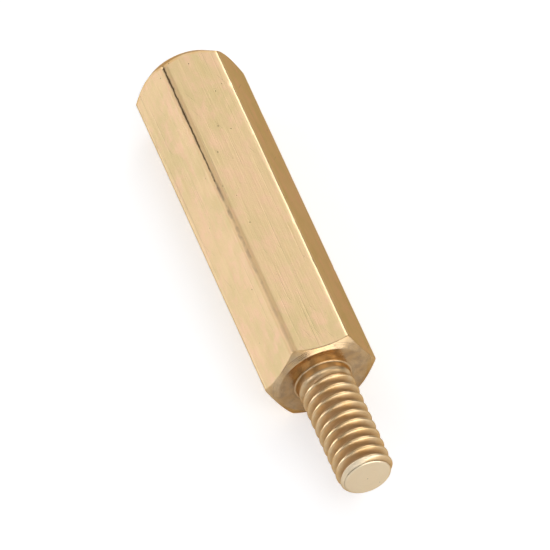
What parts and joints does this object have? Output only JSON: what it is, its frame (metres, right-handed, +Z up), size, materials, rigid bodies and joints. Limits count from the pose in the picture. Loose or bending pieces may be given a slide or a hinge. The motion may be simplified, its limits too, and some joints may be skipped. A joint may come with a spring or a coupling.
{
  "type": "hex standoff",
  "caption": "Hexagonal brass standoff with a threaded stud at one end and a threaded hole at the other, for holding a small board at a set distance.",
  "frame": {"origin": "on the standoff's axis, in the plane of the shoulder that the stud stands out of", "axes": "+Y along the axis, from the shoulder to the end with the threaded hole; +Z up, square to the flat that the standoff lies on; +X across two opposite corners"},
  "size_m": [0.004, 0.0184, 0.0036],
  "materials": {
    "brass": "satin, as drawn and turned"
  },
  "bodies": {
    "root": {"standoff": "brass"}
  },
  "joints": []
}
